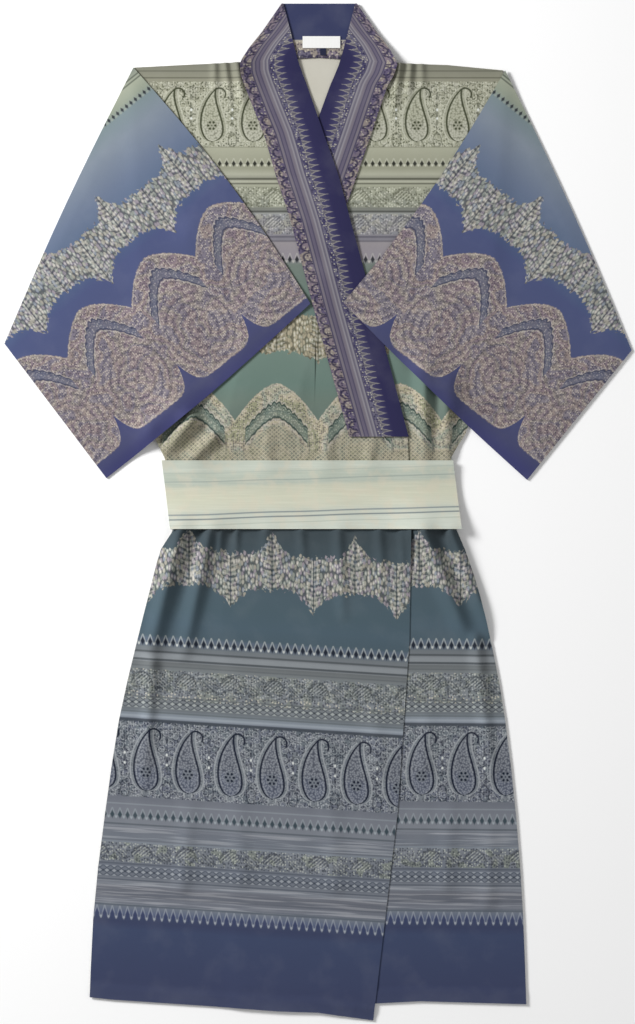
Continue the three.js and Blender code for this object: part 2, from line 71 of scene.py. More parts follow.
CLOTH = 0.8 * MM  # the thickness of one layer
BAND_CLOTH = 1.5 * MM  # the collar band is folded double
LAY_GAP = 0.25 * MM
CELL = 2 * MM  # of the height map that the pieces are laid on
GRID_STEP = 5 * MM
BACK_STEP = 8 * MM
HEM_DEPTH = 15 * MM
HEM_RISE = 0.5 * MM
FRONT_STEP = 3.5 * MM
RIM_ANGLE = 70  # degrees: edges sharper than this are a sheet's rim, and keep their corner
SEAM_REACH = 0.6 * MM  # an edge this near to a seam is brought onto it
GROUND_MARGIN = 20 * MM
GROUND_REACH = 2  # cells: how far round a point its ground is looked for
GROUND_SAMPLES = 4  # how often each side of a grid's cell is sampled when it is laid
SETTLE_PASSES = 60  # more of them stretch a sheet tighter
BELT_PASSES = 80
SMOOTHING_PASSES = 3
SLEEVE_GAP = 0.1 * MM  # between a sleeve's two layers at its edges
SLEEVE_AIR = 1 * MM  # that much more away from them
PRINT_CHANGE_Y = 20 * MM  # under the belt, where the bodice's print gives way to the skirt's

# The place of each outline corner: the point furthest along a direction (x, y).
LOWER = dict(low_left=(-1, -1), low_right=(1, -1))
CORNERS = {
    "back_panel": dict(LOWER, top_left=(-1, 2), top_right=(1, 2)),
    "front_right": dict(LOWER, top_left=(-1, 1), top_right=(1, 4)),
    "overlap_right": dict(LOWER, top_left=(-1, 1), top_right=(3, 1)),
    "front_left": dict(LOWER, top_left=(-1, 4), top_right=(1, 1)),
    "overlap_left": dict(LOWER, top_left=(-3, 1), top_right=(1, 1)),
    "collar_right": dict(LOWER, top_left=(-1, 10), top_right=(1, 10)),
    "collar_left": dict(LOWER, top_left=(-1, 10), top_right=(1, 10)),
    "collar_back": dict(LOWER, top_left=(-1, 3), top_right=(1, 3)),
    "belt": dict(top_left=(-1, 3), top_right=(1, 3), low_left=(-1, -3), low_right=(1, -3)),
    "sleeve_right": dict(top_left=(-1, 0.3), top_right=(0, 1), low_left=(0, -1), low_right=(1, 0)),
    "sleeve_left": dict(top_left=(0, 1), top_right=(1, 0.3), low_left=(-1, 0), low_right=(0, -1)),
}


# ---- Outlines and sheets ------------------------------------------------------------------------

def sides_of(node):
    """The sides of all the node's triangles, seen from above."""
    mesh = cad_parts[node].data
    mesh.calc_loop_triangles()
    points = np.array([vertex.co[:2] for vertex in mesh.vertices])
    faces = np.array([triangle.vertices for triangle in mesh.loop_triangles])
    pairs = np.concatenate([faces[:, [0, 1]], faces[:, [1, 2]], faces[:, [2, 0]]])
    return points[pairs]


def edge(sides, centre, start, end, count):
    """Points along an outline from one corner to another.

    The piece is sliced across the line between them, and each slice's outermost point is kept.
    """
    length = np.linalg.norm(end - start)
    along = (end - start) / length
    out = np.array([along[1], -along[0]])
    if (centre - start) @ out > 0:
        out = -out
    run = (sides - start) @ along
    reach = (sides - start) @ out
    points = [start]
    for step in range(1, count):
        place = length * step / count
        crossed = (run.min(1) <= place) & (run.max(1) >= place) & (abs(run[:, 0] - run[:, 1]) > 1e-9)
        share = (place - run[crossed, 0]) / (run[crossed, 1] - run[crossed, 0])
        outermost = (reach[crossed, 0] + share * (reach[crossed, 1] - reach[crossed, 0])).max()
        points.append(start + along * place + out * outermost)
    return np.array(points + [end])


def flat_grid(node, step=GRID_STEP):
    """Rows of points (from the lower edge up) that fill the node's outline seen from above."""
    sides = sides_of(node)
    points = sides.reshape(-1, 2)
    corner = {name: points[(points @ np.array(way)).argmax()] for name, way in CORNERS[node].items()}
    centre = sum(corner.values()) / len(corner)

    def span(start, end):
        return np.linalg.norm(corner[end] - corner[start])

    width = max(span("low_left", "low_right"), span("top_left", "top_right"))
    height = max(span("low_left", "top_left"), span("low_right", "top_right"))
    across = max(4, round(width / step))
    up = max(4, round(height / step))
    low = edge(sides, centre, corner["low_left"], corner["low_right"], across)
    top = edge(sides, centre, corner["top_left"], corner["top_right"], across)
    left = edge(sides, centre, corner["low_left"], corner["top_left"], up)
    right = edge(sides, centre, corner["low_right"], corner["top_right"], up)
    u = np.linspace(0, 1, across + 1)[None, :, None]
    v = np.linspace(0, 1, up + 1)[:, None, None]
    ruled = (1 - v) * low[None] + v * top[None] + (1 - u) * left[:, None] + u * right[:, None]
    bilinear = (1 - v) * ((1 - u) * corner["low_left"] + u * corner["low_right"])
    bilinear = bilinear + v * ((1 - u) * corner["top_left"] + u * corner["top_right"])
    return ruled - bilinear


class Ground:
    """How high the cloth laid so far stands, on a square grid over the floor."""

    def __init__(self):
        low, high = CAD_BOUNDS
        self.origin = np.array([low[0], low[1]]) - GROUND_MARGIN
        span = np.array([high[0], high[1]]) - self.origin + GROUND_MARGIN
        self.heights = np.zeros(np.ceil(span / CELL).astype(int) + 1)

    def cells(self, xy):
        """The indexes of the cells that points fall in."""
        return tuple(np.moveaxis(np.round((xy - self.origin) / CELL).astype(int), -1, 0))

    def under(self, xy, reach=GROUND_REACH):
        """The greatest height within a few cells of each point."""
        spread = self.heights.copy()
        for _ in range(reach):
            for axis in (0, 1):
                spread = np.maximum(spread, np.maximum(np.roll(spread, 1, axis), np.roll(spread, -1, axis)))
        return spread[self.cells(xy)]

    def lay(self, xy, top):
        """Raises the ground to a sheet's upper face."""
        last_row, last_column = xy.shape[0] - 1, xy.shape[1] - 1
        rows = np.linspace(0, last_row, last_row * GROUND_SAMPLES + 1)
        columns = np.linspace(0, last_column, last_column * GROUND_SAMPLES + 1)
        cells = self.cells(resample(xy, rows, columns))
        np.maximum.at(self.heights, cells, resample(top[..., None], rows, columns)[..., 0])


def resample(values, rows, columns):
    """A grid's values at fractions of its rows and columns."""
    r = np.minimum(rows.astype(int), values.shape[0] - 2)
    c = np.minimum(columns.astype(int), values.shape[1] - 2)
    fr = (rows - r)[:, None, None]
    fc = (columns - c)[None, :, None]
    near = (1 - fc) * values[r][:, c] + fc * values[r][:, c + 1]
    far = (1 - fc) * values[r + 1][:, c] + fc * values[r + 1][:, c + 1]
    return (1 - fr) * near + fr * far


def blurred(z):
    """Each height averaged with its four neighbours'."""
    padded = np.pad(z, 1, mode="edge")
    across = padded[1:-1, :-2] + padded[1:-1, 2:]
    along = padded[:-2, 1:-1] + padded[2:, 1:-1]
    return 0.5 * z + 0.125 * (across + along)


def settle(base, passes):
    """Stretches a sheet over what is under it, so that it bridges the hollows."""
    z = base.copy()
    for _ in range(passes):
        z = np.maximum(base, blurred(z))
    for _ in range(SMOOTHING_PASSES):
        z = blurred(z)
    return z


def shell(name, sheets):
    """A mesh of one or more closed thin sheets. Each is (points, upper heights, thickness, uv)."""
    vertices, faces, uvs = [], [], []
    for xy, top, thickness, uv in sheets:
        rows, columns = top.shape
        start = sum(len(part) for part in vertices)
        upper = np.dstack([xy, top]).reshape(-1, 3)
        lower = upper - [0, 0, thickness]
        vertices += [upper, lower]
        uvs += [uv.reshape(-1, 2), uv.reshape(-1, 2)]
        index = np.arange(rows * columns).reshape(rows, columns) + start
        corners = [index[:-1, :-1], index[:-1, 1:], index[1:, 1:], index[1:, :-1]]
        quads = np.stack(corners, -1).reshape(-1, 4)
        count = rows * columns
        rim = np.concatenate([index[0, :-1], index[:-1, -1], index[-1, :0:-1], index[:0:-1, 0]])
        after = np.roll(rim, -1)
        walls = np.stack([rim, rim + count, after + count, after], -1)
        faces += [quads, quads[:, ::-1] + count, walls]
    mesh = bpy.data.meshes.new(name)
    all_faces = np.concatenate(faces)
    mesh.from_pydata(np.concatenate(vertices).tolist(), [], all_faces.tolist())
    layer = mesh.uv_layers.new(name="print")
    layer.data.foreach_set("uv", np.concatenate(uvs)[all_faces.reshape(-1)].astype(np.float32).reshape(-1))
    mesh.shade_smooth()
    mesh.set_sharp_from_angle(angle=math.radians(RIM_ANGLE))
    mesh.validate()
    piece = bpy.data.objects.new(name, mesh)
    bpy.context.scene.collection.objects.link(piece)
    return piece


def ridge(xy, folds):
    """Standing folds, from a table of start, end, half width and rise. Each dies away at its end."""
    height = np.zeros(xy.shape[:2])
    for x, y, to_x, to_y, width, rise in folds:
        start = np.array([x, y]) * MM
        run = np.array([to_x - x, to_y - y]) * MM
        t = ((xy - start) @ run) / (run @ run)
        nearest = start + np.clip(t, 0, 1)[..., None] * run
        away = np.linalg.norm(xy - nearest, axis=-1) / (width * MM)
        lengthwise = np.clip(1 - t, 0, 1) ** 0.5
        height += rise * MM * np.exp(-(away ** 2) * 2) * np.where(t < 0, 1, lengthwise)
    return height


def rotated(xy, origin, degrees):
    """Places measured from an origin, along a direction and across it."""
    angle = math.radians(degrees)
    along = np.array([math.cos(angle), math.sin(angle)])
    across = np.array([-math.sin(angle), math.cos(angle)])
    offset = xy - np.array(origin) * MM
    return np.stack([offset @ along, offset @ across], -1)


def sheet_area(xy):
    """The area of a grid of points."""
    a = xy[1:, 1:] - xy[:-1, :-1]
    b = xy[1:, :-1] - xy[:-1, 1:]
    return float(abs(a[..., 0] * b[..., 1] - a[..., 1] * b[..., 0]).sum() / 2)


# ---- Materials: a small language for prints -----------------------------------------------------

ROUGHNESS = 0.9
THREAD = 0.9  # the pitch of the weave, in millimetres
WEAVE_DEPTH = 0.2 * MM


class Field:
    """A number that varies over the cloth: a node socket that takes ordinary arithmetic."""

    def __init__(self, tree, socket):
        self.tree = tree
        self.socket = socket

    def __add__(self, other):
        return compute("ADD", self, other)

    __radd__ = __add__

    def __sub__(self, other):
        return compute("SUBTRACT", self, other)

    def __rsub__(self, other):
        return compute("SUBTRACT", other, self)

    def __mul__(self, other):
        return compute("MULTIPLY", self, other)

    __rmul__ = __mul__

    def __truediv__(self, other):
        return compute("DIVIDE", self, other)

    def __pow__(self, other):
        return compute("POWER", self, other)


def compute(operation, *values, limited=False):
    """A math node's result. If it is limited, it stays from 0 to 1."""
    tree = next(value.tree for value in values if isinstance(value, Field))
    node = tree.nodes.new("ShaderNodeMath")
    node.operation = operation
    node.use_clamp = limited
    for socket, value in zip(node.inputs, values):
        if isinstance(value, Field):
            tree.links.new(value.socket, socket)
        else:
            socket.default_value = value
    return Field(tree, node.outputs[0])


def least(a, b):
    return compute("MINIMUM", a, b)


def most(a, b):
    return compute("MAXIMUM", a, b)


def size(a):
    return compute("ABSOLUTE", a)


def both(*masks):
    """A mask: 1 where every mask is 1."""
    result = masks[0]
    for mask in masks[1:]:
        result = result * mask
    return result


def inside(distance, soft=0.9):
    """A mask: 1 where a distance is below zero, with a soft edge."""
    return compute("MULTIPLY_ADD", distance, -1 / soft, 0.5, limited=True)


def stroke(distance, half, soft=0.9):
    """A mask: a line along distance 0, of a given half thickness."""
    return inside(size(distance) - half, soft)


def between(value, low, high, soft=0.9):
    """A mask: 1 from a low value to a high one."""
    return inside(size(value - (low + high) / 2) - (high - low) / 2, soft)


def repeat(u, period, shift=0.0):
    """The distance from the nearest repeat, signed."""
    return (compute("FRACT", (u - shift) / period + 0.5) - 0.5) * period


def spike(x, width):
    """1 at x = 0, falling along a hollow curve to 0 at the width."""
    return compute("SUBTRACT", 1, size(x) / width, limited=True) ** 2


def oval(x, y, across, up):
    """The distance outside an ellipse, in about the same unit."""
    return (compute("SQRT", (x / across) ** 2 + (y / up) ** 2) - 1) * min(across, up)


def linear(colour):
    """A colour written as 0xRRGGBB, as linear light."""
    shares = [((colour >> shift) & 255) / 255 for shift in (16, 8, 0)]
    return [s / 12.92 if s <= 0.04045 else ((s + 0.055) / 1.055) ** 2.4 for s in shares] + [1]


class Print:
    """One cloth material. Inks are laid over each other, and end in a matt woven shader."""

    def __init__(self, name, base):
        self.material = bpy.data.materials.new(name)
        self.material.use_nodes = True
        self.tree = self.material.node_tree
        self.tree.nodes.clear()
        uv = self.node("ShaderNodeUVMap")
        uv.uv_map = "print"
        parts = self.node("ShaderNodeSeparateXYZ")
        self.tree.links.new(uv.outputs[0], parts.inputs[0])
        self.u = Field(self.tree, parts.outputs[0]) * 1000
        self.v = Field(self.tree, parts.outputs[1]) * 1000
        self.place = uv.outputs[0]
        self.ink = linear(base)

    def node(self, kind, **settings):
        """Adds a node with the settings given."""
        node = self.tree.nodes.new(kind)
        for key, value in settings.items():
            setattr(node, key, value)
        return node

    def set(self, socket, value):
        """Links or sets a socket."""
        if isinstance(value, Field):
            self.tree.links.new(value.socket, socket)
        elif isinstance(value, bpy.types.NodeSocket):
            self.tree.links.new(value, socket)
        else:
            socket.default_value = value

    def over(self, colour, mask):
        """Lays an ink over what is there, where the mask is 1."""
        node = self.node("ShaderNodeMix", data_type="RGBA")
        self.set(node.inputs[0], mask)
        self.set(node.inputs[6], self.ink)
        self.set(node.inputs[7], linear(colour) if isinstance(colour, int) else colour)
        self.ink = node.outputs[2]

    def ramp(self, value, low, high, stops, mode="LINEAR"):
        """A colour that follows a value through stops of (value, colour)."""
        share = (value - low) / (high - low)
        node = self.node("ShaderNodeValToRGB")
        node.color_ramp.interpolation = mode
        elements = node.color_ramp.elements
        while len(elements) < len(stops):
            elements.new(0.5)
        for element, (at, colour) in zip(elements, sorted(stops)):
            element.position = (at - low) / (high - low)
            element.color = linear(colour)
        self.set(node.inputs[0], share)
        return node.outputs[0]

    def voronoi(self, scale, output="Distance", stretch=1.0):
        """Cells with a given spacing in millimetres."""
        node = self.node("ShaderNodeTexVoronoi", voronoi_dimensions="2D")
        mapping = self.node("ShaderNodeMapping")
        mapping.inputs["Scale"].default_value = (1000 / scale, 1000 / scale / stretch, 1)
        self.tree.links.new(self.place, mapping.inputs[0])
        self.tree.links.new(mapping.outputs[0], node.inputs["Vector"])
        node.inputs["Scale"].default_value = 1
        if output == "Color":
            parts = self.node("ShaderNodeSeparateXYZ")
            self.tree.links.new(node.outputs["Color"], parts.inputs[0])
            return Field(self.tree, parts.outputs[0])
        return Field(self.tree, node.outputs[output])

    def noise(self, scale, detail=2.0, stretch=1.0):
        """Soft blots of a given size in millimetres, longer along u if stretched."""
        node = self.node("ShaderNodeTexNoise", noise_dimensions="2D")
        mapping = self.node("ShaderNodeMapping")
        mapping.inputs["Scale"].default_value = (1000 / scale / stretch, 1000 / scale, 1)
        self.tree.links.new(self.place, mapping.inputs[0])
        self.tree.links.new(mapping.outputs[0], node.inputs["Vector"])
        node.inputs["Scale"].default_value = 1
        node.inputs["Detail"].default_value = detail
        return Field(self.tree, node.outputs[0])

    def finish(self, sheen=0.03, mottle=0.06):
        """The shader: a slight unevenness of dye, the weave as bump, and a faint sheen."""
        uneven = self.noise(40, 5)
        self.over(0xFFFFFF, compute("MULTIPLY", uneven - 0.5, mottle, limited=True))
        self.over(0x101018, compute("MULTIPLY", 0.5 - uneven, mottle, limited=True))
        warp = compute("SINE", self.u * (2 * math.pi / THREAD))
        weft = compute("SINE", self.v * (2 * math.pi / THREAD))
        bump = self.node("ShaderNodeBump")
        bump.inputs["Strength"].default_value = 0.25
        bump.inputs["Distance"].default_value = WEAVE_DEPTH
        self.set(bump.inputs["Height"], warp * weft + self.noise(2.5) * 1.5)
        shader = self.node("ShaderNodeBsdfPrincipled")
        self.set(shader.inputs["Base Color"], self.ink)
        shader.inputs["Roughness"].default_value = ROUGHNESS
        shader.inputs["Specular IOR Level"].default_value = 0.1
        shader.inputs["Sheen Weight"].default_value = sheen
        shader.inputs["Sheen Roughness"].default_value = 0.5
        self.tree.links.new(bump.outputs[0], shader.inputs["Normal"])
        output = self.node("ShaderNodeOutputMaterial")
        self.tree.links.new(shader.outputs[0], output.inputs[0])
        return self.material


# ---- Motifs -------------------------------------------------------------------------------------

LEAF_INKS = [0x9C988C, 0x948C92, 0x8C9088, 0xA6A498, 0x868C94, 0x928C94, 0x989C94, 0xACA8A0]
MEDALLION_INKS = [0x807276, 0x726C7A, 0x88807A, 0x7E707A, 0x8E817C, 0x76707C]
TEETH = 9.0  # the spacing of the small saw-tooth and dot borders


def patchwork(cloth, tone, inks):
    """The inks in equal shares of a tone from 0 to 1."""
    stops = [(i / len(inks), ink) for i, ink in enumerate(inks)]
    return cloth.ramp(tone, 0, 1, stops, "CONSTANT")


def stipple(cloth, mask, inks, cell, dark=0x3C3C48, light=0xC9C4B4, amount=0.8):
    """A fine patchwork of inks with dark and light specks, as the small filled grounds have."""
    tone = cloth.voronoi(cell * 2.5, "Color")
    cloth.over(patchwork(cloth, tone, inks), mask * amount)
    specks = cloth.voronoi(cell)
    pick = cloth.voronoi(cell, "Color")
    cloth.over(dark, both(mask, inside(specks - 0.34, 0.25), inside(0.5 - pick, 0.1)) * 0.75)
    cloth.over(light, both(mask, inside(specks - 0.3, 0.25), inside(pick - 0.42, 0.1)) * 0.7)


def lines(cloth, v, table):
    """Plain lines along the border: each (place, half thickness, colour, strength)."""
    for place, half, colour, strength in table:
        cloth.over(colour, stroke(v - place, half, 1.1) * strength)


def tooth_row(cloth, u, v, low, high, dark, light, period=TEETH):
    """A row of pale zigzags with a dark lozenge under each point."""
    x = size(repeat(u, period))
    height = high - low
    share = (v - low) / height
    row = between(v, low, high)
    zigzag = x * (2 / period) + share - 1
    cloth.over(light, both(row, stroke(zigzag, 0.1, 0.34)) * 0.62)
    lozenge = x / (period * 0.3) + size(v - low - height * 0.36) / (height * 0.36) - 1
    cloth.over(dark, inside(lozenge * 2, 1.3) * 0.95)
    between_x = size(repeat(u, period, period / 2))
    cloth.over(light, inside(oval(between_x, v - low - height * 0.16, 1.3, 1.3), 1.0) * 0.7)


def lattice_row(cloth, u, v, low, high, dark, light, period=8.6):
    """A net of small lozenges, two deep, with dark knots."""
    x = size(repeat(u, period))
    step = (high - low) / 2
    y = size(repeat(v, step, (low + high) / 2))
    lozenge = x * (2 / period) + y * (2 / step) - 1
    row = between(v, low, high)
    cloth.over(dark, both(row, stroke(lozenge, 0.16, 0.3)) * 0.75)
    cloth.over(light, both(row, inside(lozenge + 0.4, 0.3)) * 0.6)
    knots = oval(x - period / 2, size(v - (low + high) / 2), 1.5, 1.3)
    cloth.over(dark, both(row, inside(knots, 1.0)) * 0.8)


def scroll_row(cloth, u, v, low, high, dark, light, mid, period=52.0):
    """Leafy sprays that rise in arcs along a row, hatched inside, with small flowers between."""
    middle = (low + high) / 2
    reach = (high - low) / 2
    row = between(v, low, high)
    stipple(cloth, row, mid, 3.0, dark, light, 0.6)
    grain = cloth.voronoi(3.2)
    for shift, side, across, strength in ((0, 1, 0.24, 1.0), (period * 0.5, -1, 0.16, 0.55)):
        x = repeat(u, period, shift)
        y = (v - middle) * side
        arc = oval(x, y + reach * 0.55, period * across, reach * 1.3)
        above = inside(-1.0 * y - reach * 0.3, 2)
        hatch = repeat(y - x * 0.9, 4.2)
        leaf = both(row, inside(arc, 1.0), above)
        cloth.over(light, both(leaf, stroke(hatch, 0.5, 1.2)) * (0.5 * strength))
        cloth.over(dark, both(leaf, stroke(size(hatch) - 1.9, 0.5, 1.2)) * (0.5 * strength))
        cloth.over(dark, both(row, above, stroke(arc + (grain - 0.5) * 2, 0.8, 1.4)) * (0.7 * strength))
        cloth.over(dark, both(row, above, stroke(arc + 3.4, 0.5, 1.4)) * (0.45 * strength))
    buds = size(repeat(u, period / 4, period / 8))
    cloth.over(dark, both(row, inside(oval(buds, v - low - reach * 0.4, 1.7, 1.5), 1.0)) * 0.7)


def boteh_row(cloth, u, v, low, period, shift, height, half_width, outline, inks, pale):
    """A row of upright botehs: rounded drops whose tips hook over to one side.

    Each has an outline, a rosette and a pale halo. Strings of beads hang between them.
    """
    x = repeat(u, period, shift)
    y = v - low
    share = compute("MULTIPLY", y, 1.05 / height, limited=True)
    lean = (share ** 3) * (half_width * 0.34)
    left = lean - (share ** 0.5) * ((1 - share) ** 0.78) * (half_width * 2.3)
    right = lean + (share ** 0.5) * ((1 - share) ** 1.7) * (half_width * 3.15)
    away = most(x - right, left - x)
    limits = between(y, -1.2, height * 0.95, 1.0)
    body = both(limits, inside(away))
    band = between(y, -height * 0.11, height * 1.1)
    stipple(cloth, band, inks, 3.0, outline, pale, 0.5)
    curls = cloth.voronoi(8.5)
    cloth.over(pale, both(band, stroke(curls - 0.4, 0.05, 0.1)) * 0.5)
    cloth.over(outline, both(band, stroke(curls - 0.52, 0.04, 0.1)) * 0.45)
    halo = both(between(y, -6, height * 0.97), inside(away - 5.2, 1.4))
    cloth.over(inks[2], halo * 0.6)
    cloth.over(pale, both(between(y, -5, height * 0.97), stroke(away - 4.4, 0.8, 1.4)) * 0.6)
    cloth.over(inks[0], body * 0.85)
    cloth.over(inks[1], both(body, inside(y - height * 0.36, height * 0.1)) * 0.7)
    specks = cloth.voronoi(2.6)
    cloth.over(pale, both(body, inside(specks - 0.25, 0.3)) * 0.4)
    cloth.over(outline, both(body, inside(0.6 - specks, 0.3)) * 0.5)
    cloth.over(pale, both(body, stroke(away + 2.6, 0.5, 1.2)) * 0.35)
    cloth.over(outline, both(limits, stroke(away, 1.05, 1.0)))
    hook_r = half_width * 0.54
    hook_x = x - half_width * 0.66
    hook_y = y - height * 0.98 + hook_r
    hook = compute("SQRT", hook_x ** 2 + hook_y ** 2) - hook_r
    curl = both(stroke(hook, 1.0, 1.0), inside(-1.0 * hook_y - hook_x * 0.7, 1.5))
    cloth.over(outline, curl)
    rose_y = y - height * 0.29
    r = compute("SQRT", x ** 2 + rose_y ** 2)
    petals = compute("COSINE", compute("ARCTAN2", rose_y, x) * 6)
    ring = stroke(r - half_width * 0.31, half_width * 0.1, 1.0)
    cloth.over(inks[2], inside(r - half_width * 0.46, 1.2) * 0.6)
    cloth.over(outline, both(ring, inside(petals * -1 - 0.1, 0.8)))
    cloth.over(outline, inside(r - half_width * 0.07, 1.0) * 0.8)
    side = size(repeat(u, period, shift + period / 2))
    beads = size(repeat(v, height * 0.16, low + height * 0.5))
    stem = between(y, height * 0.22, height * 0.92)
    cloth.over(outline, both(stem, inside(oval(side, beads, 1.5, 3.6), 1.0)) * 0.55)
    pearls = inside(oval(side, beads - height * 0.08, 1.2, 1.6), 1.0)
    cloth.over(0xD8DCD8, both(between(y, height * 0.4, height * 0.7), pearls) * 0.85)
    foot = oval(side, y - height * 0.02, half_width * 0.36, height * 0.13)
    cloth.over(outline, both(band, stroke(foot, 0.6, 1.0)) * 0.6)


def garland(cloth, u, v, period, shift, low, high, drop, rise, inks, vein, spread=0.17):
    """A leafy band between low and high, of small leaves set along upright stems.

    Its upper edge rises to points by the rise, and its lower edge drops to points between them.
    """
    up = size(repeat(u, period, shift))
    down = size(repeat(u, period, shift + period / 2))
    tone = cloth.voronoi(3.0, "Color", 1.9)
    ragged = (tone - 0.5) * 6.5
    saw = size(repeat(u + v * 0.4, 5.6)) * 0.8
    cone = compute("SUBTRACT", 1, up / (period * spread), limited=True)
    top = (cone ** 1.3) * rise + high + saw - ragged - spike(down, period * 0.5) * (rise * 0.15)
    bottom = low - spike(down, period * 0.34) * drop - saw + ragged
    leaf = both(inside(v - top, 1.2), inside(bottom - v, 1.2))
    cloth.over(patchwork(cloth, tone, inks), leaf * 0.9)
    cell = cloth.voronoi(3.0, "Distance", 1.9)
    cloth.over(vein, both(leaf, inside(0.52 - cell, 0.24)) * 0.75)
    cloth.over(0xD2D0C6, both(leaf, inside(cell - 0.24, 0.25), inside(0.6 - tone, 0.1)) * 0.6)
    clumps = cloth.voronoi(15, "Distance", 1.2)
    cloth.over(vein, both(leaf, stroke(clumps - 0.5, 0.05, 0.1)) * 0.35)
    for side, reach in ((up, period * 0.12), (down, period * 0.1)):
        branch = size(repeat(v - side * 0.35, 5.4))
        near = both(leaf, inside(side - reach * spike(branch - 2.7, 4), 2.5))
        cloth.over(0xC9C6BC, both(near, stroke(branch - 2.2, 0.6, 0.9)) * 0.35)
        cloth.over(vein, both(near, inside(side - reach * 0.4, 2), stroke(branch, 0.6, 0.9)) * 0.6)
        cloth.over(vein, both(leaf, stroke(side, 0.7, 0.9)) * 0.75)


def medallions(cloth, u, v, period, shift, top, dip, foot, lift, inks, ring_dark, ring_fill,
               leg=1.15, net=0.0):
    """Arched medallions side by side, each with a scalloped ring under its arch.

    The arch is at the top in the middle, and falls by the dip at the sides. The lower edge is at the
    foot, and lifts at the sides. The ring's legs fall by their share of the dip. Faint rings of beads
    lie round the middle. A net of crossed lines, if there is one, covers what is under the ring.
    """
    x = size(repeat(u, period, shift))
    half = period / 2
    share = x / half
    ragged = (cloth.voronoi(3.5) - 0.5) * 1.6
    arch = top - (share ** 1.65) * dip + ragged
    base = foot + (share ** 7) * lift + ragged
    body = both(inside(v - arch, 1.2), inside(base - v, 1.2))
    zone = cloth.noise(34, 2)
    stops = [(0.3 + 0.4 * i / len(inks), ink) for i, ink in enumerate(inks)]
    cloth.over(cloth.ramp(zone, 0, 1, stops), body)
    grain = cloth.voronoi(2.3)
    pick = cloth.voronoi(2.3, "Color")
    cloth.over(0x34323E, both(body, inside(grain - 0.42, 0.25), inside(0.55 - pick, 0.1)) * 0.6)
    cloth.over(0xC4BBAE, both(body, inside(grain - 0.38, 0.25), inside(pick - 0.36, 0.1)) * 0.6)
    middle_y = foot + (top - foot) * 0.32
    rings = compute("SQRT", (x * 0.95) ** 2 + ((v - middle_y) * 0.85) ** 2)
    under = both(body, inside(rings - half * 0.93, 4))
    beads = size(repeat(rings, 8.5, 3))
    cloth.over(0x46444F, both(under, stroke(beads, 1.0, 1.6)) * 0.42)
    cloth.over(0xA89E96, both(under, stroke(beads - 3.6, 0.7, 1.6)) * 0.25)
    cloth.over(0xB5ADA0, both(body, stroke(v - arch + 1.6, 0.9, 1.4)) * 0.45)
    cloth.over(0xB5ADA0, both(body, stroke(base - v + 1.6, 0.9, 1.4)) * 0.35)
    tip = half * 0.75
    ring_share = least(x / tip, 1.0)
    scallop = size(compute("SINE", x * (math.pi / 6.4))) * 2.8
    wobble = scallop + (cloth.voronoi(4) - 0.5) * 1.6
    outer_v = top - dip * 0.56 - (ring_share ** 1.5) * (dip * leg)
    inner_v = outer_v - dip * 0.36
    near = both(body, inside(x - tip, 1.5))
    ring = both(near, inside(v - outer_v - wobble, 1.2), inside(inner_v + wobble * 0.5 - v, 1.2))
    cloth.over(ring_fill, ring * 0.55)
    cloth.over(ring_dark, both(ring, inside(0.42 - grain, 0.25)) * 0.45)
    for depth, half_line, strength in ((0, 1.2, 0.9), (3.8, 0.6, 0.6)):
        cloth.over(ring_dark, both(near, stroke(v - outer_v - wobble + depth, half_line, 1.2)) * strength)
    cloth.over(ring_dark, both(near, stroke(v - inner_v - wobble * 0.5, 1.2, 1.2)) * 0.85)
    cloth.over(0xB4B0AA, both(near, stroke(v - outer_v - wobble - 2.6, 0.7, 1.2)) * 0.5)
    cloth.over(0xB4B0AA, both(near, stroke(v - inner_v - wobble * 0.5 + 2.8, 0.7, 1.2)) * 0.5)
    if net:
        mesh = most(stroke(repeat(v + x * 0.9, 4.6), 0.5, 1.2), stroke(repeat(v - x * 0.9, 4.6), 0.5, 1.2))
        chevron = both(body, inside(v - inner_v + 8, 4))
        cloth.over(0x66685A, chevron * (net * 0.6))
        cloth.over(0xB9B29A, both(chevron, mesh) * net)


# ---- Cloths -------------------------------------------------------------------------------------

